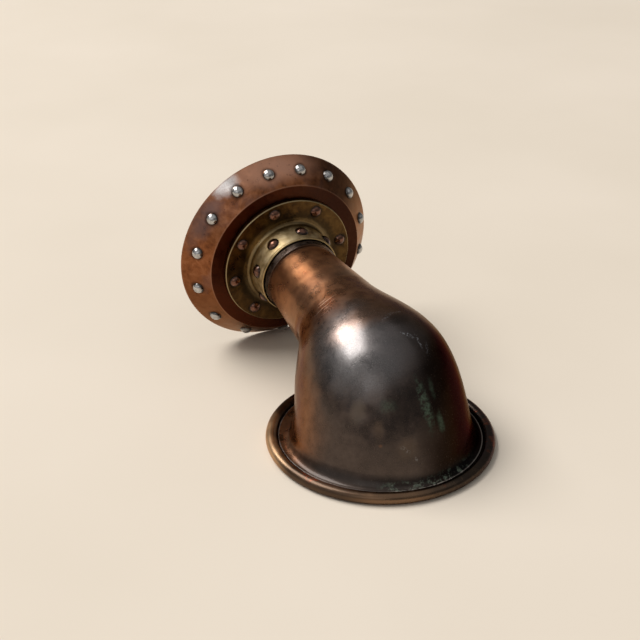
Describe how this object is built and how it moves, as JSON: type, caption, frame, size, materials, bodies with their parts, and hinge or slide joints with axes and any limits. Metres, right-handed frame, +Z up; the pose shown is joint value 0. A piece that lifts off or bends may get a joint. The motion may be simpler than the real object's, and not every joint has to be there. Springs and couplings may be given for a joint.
{
  "type": "cowl ventilator",
  "caption": "Small ship's cowl ventilator: a bent copper hood with a rolled mouth ring, turning on its neck in a brass collar on a riveted copper deck skirt.",
  "frame": {"origin": "on the table under the middle of the whole part's box, the part lying on its mouth as it is shown", "axes": "+Z up from the table the mouth lies on, +Y from the mouth towards the deck base, +X to the right seen from the mouth"},
  "size_m": [0.1518, 0.2484, 0.1478],
  "materials": {
    "skirt_copper": "red-brown patinated copper sheet, satin",
    "black_iron": "blackened iron",
    "tinned_rivet": "tinned, worn bright",
    "bright_copper": "plain copper",
    "tarred_leather": "dark, tarred",
    "old_brass": "aged brass, rubbed bright on the edges",
    "rivet_copper": "dark copper, polished domes",
    "tinned_sleeve": "dull grey tinning",
    "neck_copper": "warm brown copper, satin",
    "hood_copper": "dark brown-grey patina, semi-gloss, traces of verdigris",
    "bead_brass": "dark brown brass, rubbed"
  },
  "bodies": {
    "cowl": {"hood": "hood_copper", "neck_pipe": "neck_copper", "mouth_bead": "bead_brass", "bead_wire": "black_iron", "friction_washer": "tarred_leather", "retaining_ring": "old_brass", "ring_rivets": "rivet_copper"},
    "deck_base": {"base_skirt": "skirt_copper", "skirt_hoop": "black_iron", "skirt_rivets": "tinned_rivet", "skirt_burrs": "bright_copper", "bedding_gasket": "tarred_leather", "deck_collar": "old_brass", "flange_rivets": "rivet_copper", "flange_burrs": "bright_copper", "neck_sleeve": "tinned_sleeve", "collar_rivets": "rivet_copper"}
  },
  "joints": [
    {"name": "cowl_swivel", "type": "hinge", "parent": "cowl", "child": "deck_base", "pos_m": [0, 0.09589, 0.07166], "axis": [0, 0.9936, 0.1132], "continuous": true}
  ]
}
